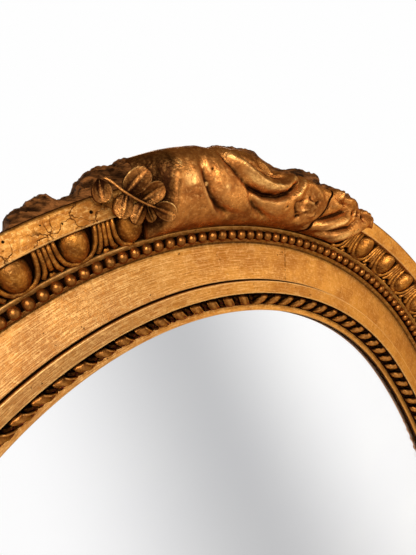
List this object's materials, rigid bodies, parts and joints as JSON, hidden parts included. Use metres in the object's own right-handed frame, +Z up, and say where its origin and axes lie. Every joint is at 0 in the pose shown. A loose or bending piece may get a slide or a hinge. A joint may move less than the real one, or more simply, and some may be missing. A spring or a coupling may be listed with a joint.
{
  "type": "oval wall mirror",
  "caption": "Oval giltwood wall mirror: egg-and-dart and pearl moulding, broad gilt flat, ribbon-twist slip, carved drapery and laurel crest, planked back with ring hangers.",
  "frame": {"origin": "centre of the oval on the back plane, on the middle plank of the backboard", "axes": "+X to the viewer's right, +Y into the wall, +Z up; the mirror faces -Y"},
  "size_m": [0.858, 0.0829, 1.0995],
  "materials": {
    "giltwood": "worn gilding over gesso on wood, satin",
    "gilt_composition": "pressed composition, gilded and rubbed, dark in the hollows",
    "gilt_carving": "carved wood, gilded and toned, bright on the ridges",
    "rough_wood": "rough-hewn wood, toned dark",
    "mirror": "silvered glass",
    "pine": "bare pine, aged",
    "steel": "plain steel",
    "brass": "dull brass"
  },
  "bodies": {
    "mirror": {"backboard_centre": "pine", "backboard_left": "pine", "backboard_right": "pine", "backboard_screws": "steel", "bead_course_bottom": "gilt_composition", "bead_course_left": "gilt_composition", "bead_course_right": "gilt_composition", "bead_course_top": "gilt_composition", "crest_drape": "gilt_carving", "crest_drape_right": "gilt_carving", "crest_ground_left": "rough_wood", "crest_ground_right": "rough_wood", "crest_screws": "steel", "darts_bottom": "gilt_composition", "darts_left": "gilt_composition", "darts_right": "gilt_composition", "darts_top": "gilt_composition", "eggs_bottom": "gilt_composition", "eggs_left": "gilt_composition", "eggs_right": "gilt_composition", "eggs_top": "gilt_composition", "frame_segment_bottom": "giltwood", "frame_segment_left": "giltwood", "frame_segment_right": "giltwood", "frame_segment_top": "giltwood", "glazing_blocks": "pine", "hanger_screws": "steel", "hanger_strap_left": "brass", "hanger_strap_right": "brass", "laurel_spray": "gilt_carving", "mirror_plate": "mirror", "segment_tongues": "pine", "slip_bottom": "giltwood", "slip_left": "giltwood", "slip_right": "giltwood", "slip_top": "giltwood", "twist_course_bottom": "gilt_composition", "twist_course_left": "gilt_composition", "twist_course_right": "gilt_composition", "twist_course_top": "gilt_composition"},
    "ring_left": {"hanger_ring_left": "brass"},
    "ring_right": {"hanger_ring_right": "brass"}
  },
  "joints": [
    {"name": "ring_left_swing", "type": "hinge", "parent": "mirror", "child": "ring_left", "pos_m": [-0.37274, 0.00355, 0.19279], "axis": [1, 0, 0], "range_deg": [0, 180]},
    {"name": "ring_right_swing", "type": "hinge", "parent": "mirror", "child": "ring_right", "pos_m": [0.37274, 0.00355, 0.19279], "axis": [1, 0, 0], "range_deg": [0, 180]}
  ]
}
